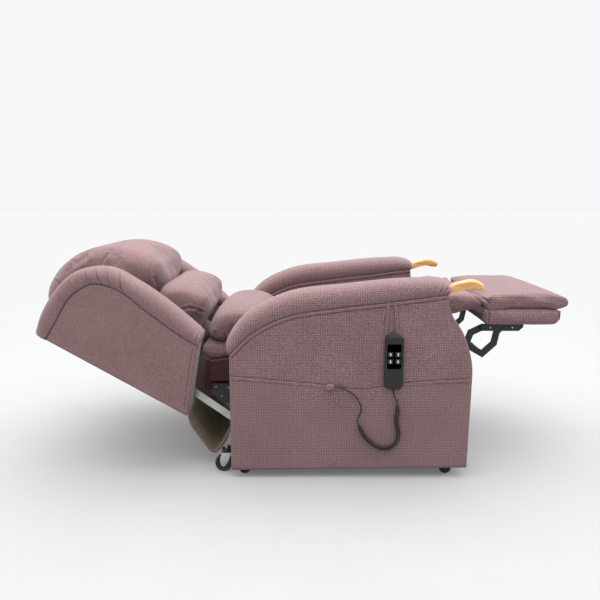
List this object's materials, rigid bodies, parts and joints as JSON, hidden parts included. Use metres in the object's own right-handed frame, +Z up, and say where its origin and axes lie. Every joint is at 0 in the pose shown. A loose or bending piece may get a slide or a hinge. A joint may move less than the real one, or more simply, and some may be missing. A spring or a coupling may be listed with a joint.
{
  "type": "lift recliner chair",
  "caption": "Powered lift and recline armchair with pillow back, padded arms, hinged leg rest, corded handset and a wheeled lifting base.",
  "frame": {"origin": "on the floor, under the middle of the reclined chair's box", "axes": "+X the way the sitter faces, +Y the sitter's left, +Z up"},
  "size_m": [1.7206, 0.788, 0.7368],
  "materials": {
    "base_steel": "satin powder coat",
    "beech": "clear satin lacquer",
    "cord_sheath": "matt",
    "cover_lining": "plain weave",
    "deck": "plain weave",
    "handset_panel": "smooth",
    "handset_shell": "fine texture",
    "key_rubber": "matt with pale arrows",
    "link_steel": "satin powder coat",
    "motor_case": "fine texture",
    "plate_steel": "satin powder coat",
    "pocket": "woven, fine check",
    "rivet": "zinc plated",
    "rod": "polished",
    "strap": "woven",
    "upholstery": "woven, fine check",
    "wheel_tread": "moulded",
    "zinc": "zinc plated"
  },
  "bodies": {
    "base": {"base_frame": "base_steel", "power_box": "motor_case"},
    "lift_arm": {"lift_arms": "base_steel"},
    "lift_motor": {"lift_motor": "motor_case"},
    "lift_rod": {"lift_rod": "rod"},
    "chassis": {"chassis_frame": "base_steel", "seat_platform": "deck", "seat_cushion": "upholstery", "side_panel_right": "upholstery", "side_panel_left": "upholstery", "inner_panel_right": "upholstery", "inner_panel_left": "upholstery", "arm_roll_right": "upholstery", "arm_roll_left": "upholstery", "arm_handle_right": "beech", "arm_handle_left": "beech", "side_pocket": "pocket", "hinge_plate_right": "plate_steel", "hinge_plate_left": "plate_steel", "frame_rivets": "rivet", "control_box": "motor_case", "rear_skirt": "cover_lining", "handset_body": "handset_shell", "handset_face": "handset_panel", "handset_clip": "handset_shell", "handset_gland": "cord_sheath", "handset_lead": "cord_sheath", "handset_coil": "cord_sheath", "handset_tail": "cord_sheath", "cord_grommet": "cord_sheath", "handset_strap": "strap"},
    "lumbar": {"lumbar_cushion": "upholstery"},
    "back": {"back_frame": "upholstery", "wing_right": "upholstery", "wing_left": "upholstery", "wing_roll_right": "upholstery", "wing_roll_left": "upholstery", "head_cushion": "upholstery", "mid_cushion": "upholstery", "back_rail_right": "zinc", "back_rail_left": "zinc"},
    "legrest": {"leg_flap": "upholstery", "footrest_pad": "upholstery", "footrest_box": "upholstery", "footrest_bracket_right": "link_steel", "footrest_bracket_left": "link_steel"},
    "link_front": {"leg_link_front": "link_steel"},
    "link_rear": {"leg_link_rear": "link_steel"},
    "wheel_rear_right": {"wheel_rear_right": "wheel_tread"},
    "wheel_rear_left": {"wheel_rear_left": "wheel_tread"},
    "wheel_front_right": {"wheel_front_right": "wheel_tread"},
    "wheel_front_left": {"wheel_front_left": "wheel_tread"},
    "caster_fork_right": {"caster_fork_right": "zinc"},
    "caster_wheel_right": {"caster_wheel_right": "wheel_tread"},
    "caster_fork_left": {"caster_fork_left": "zinc"},
    "caster_wheel_left": {"caster_wheel_left": "wheel_tread"},
    "button_back_up": {"button_back_up": "key_rubber"},
    "button_legs_up": {"button_legs_up": "key_rubber"},
    "button_back_down": {"button_back_down": "key_rubber"},
    "button_legs_down": {"button_legs_down": "key_rubber"}
  },
  "joints": [
    {"name": "wheel_rear_right_spin", "type": "hinge", "parent": "base", "child": "wheel_rear_right", "pos_m": [-0.178, -0.348, 0.019], "axis": [0, 1, 0], "continuous": true},
    {"name": "wheel_rear_left_spin", "type": "hinge", "parent": "base", "child": "wheel_rear_left", "pos_m": [-0.178, 0.348, 0.019], "axis": [0, 1, 0], "continuous": true},
    {"name": "wheel_front_right_spin", "type": "hinge", "parent": "base", "child": "wheel_front_right", "pos_m": [0.467, -0.348, 0.019], "axis": [0, 1, 0], "continuous": true},
    {"name": "wheel_front_left_spin", "type": "hinge", "parent": "base", "child": "wheel_front_left", "pos_m": [0.467, 0.348, 0.019], "axis": [0, 1, 0], "continuous": true},
    {"name": "caster_swivel_right", "type": "hinge", "parent": "base", "child": "caster_fork_right", "pos_m": [-0.237, -0.332, 0.078], "axis": [0, 0, 1], "continuous": true},
    {"name": "caster_spin_right", "type": "hinge", "parent": "caster_fork_right", "child": "caster_wheel_right", "pos_m": [-0.247, -0.332, 0.028], "axis": [0, 1, 0], "continuous": true},
    {"name": "caster_swivel_left", "type": "hinge", "parent": "base", "child": "caster_fork_left", "pos_m": [-0.237, 0.332, 0.078], "axis": [0, 0, 1], "continuous": true},
    {"name": "caster_spin_left", "type": "hinge", "parent": "caster_fork_left", "child": "caster_wheel_left", "pos_m": [-0.247, 0.332, 0.028], "axis": [0, 1, 0], "continuous": true},
    {"name": "lift", "type": "hinge", "parent": "base", "child": "lift_arm", "pos_m": [-0.15, 0, 0.062], "axis": [0, -1, 0], "range_deg": [0, 38]},
    {"name": "chassis_tilt", "type": "hinge", "parent": "lift_arm", "child": "chassis", "pos_m": [0.33, 0, 0.092], "axis": [0, 1, 0], "range_deg": [0, 63]},
    {"name": "motor_tilt", "type": "hinge", "parent": "base", "child": "lift_motor", "pos_m": [0.43, 0, 0.052], "axis": [0, 1, 0], "range_deg": [0, 20]},
    {"name": "rod_slide", "type": "slide", "parent": "lift_motor", "child": "lift_rod", "axis": [-0.9969, 0, 0.0785], "range_m": [0, 0.105]},
    {"name": "recline", "type": "hinge", "parent": "chassis", "child": "back", "pos_m": [0.003, 0, 0.261], "axis": [0, 1, 0], "range_deg": [0, 52]},
    {"name": "lumbar_follow", "type": "hinge", "parent": "chassis", "child": "lumbar", "pos_m": [0.003, 0, 0.261], "axis": [0, 1, 0], "range_deg": [0, 40]},
    {"name": "legrest", "type": "hinge", "parent": "chassis", "child": "legrest", "pos_m": [0.45, 0, 0.48], "axis": [0, 1, 0], "range_deg": [0, 90]},
    {"name": "link_front_fold", "type": "hinge", "parent": "legrest", "child": "link_front", "pos_m": [0.604, 0, 0.45], "axis": [0, 1, 0], "range_deg": [0, 12]},
    {"name": "link_rear_fold", "type": "hinge", "parent": "legrest", "child": "link_rear", "pos_m": [0.675, 0, 0.45], "axis": [0, 1, 0], "range_deg": [0, 8]},
    {"name": "button_back_up_press", "type": "slide", "parent": "chassis", "child": "button_back_up", "axis": [0, 1, 0], "range_m": [0, 0.0015], "stiffness_N_per_m": 600, "springref_m": -0.001},
    {"name": "button_legs_up_press", "type": "slide", "parent": "chassis", "child": "button_legs_up", "axis": [0, 1, 0], "range_m": [0, 0.0015], "stiffness_N_per_m": 600, "springref_m": -0.001},
    {"name": "button_back_down_press", "type": "slide", "parent": "chassis", "child": "button_back_down", "axis": [0, 1, 0], "range_m": [0, 0.0015], "stiffness_N_per_m": 600, "springref_m": -0.001},
    {"name": "button_legs_down_press", "type": "slide", "parent": "chassis", "child": "button_legs_down", "axis": [0, 1, 0], "range_m": [0, 0.0015], "stiffness_N_per_m": 600, "springref_m": -0.001}
  ],
  "couplings": [
    {"joint": "chassis_tilt", "follows": "lift", "ratio": 1.6579},
    {"joint": "motor_tilt", "follows": "lift", "ratio": 0.518},
    {"joint": "rod_slide", "follows": "lift", "m_per_rad": 0.15},
    {"joint": "lumbar_follow", "follows": "recline", "ratio": 0.76923},
    {"joint": "link_front_fold", "follows": "legrest", "ratio": 0.13333},
    {"joint": "link_rear_fold", "follows": "legrest", "ratio": 0.08888}
  ]
}
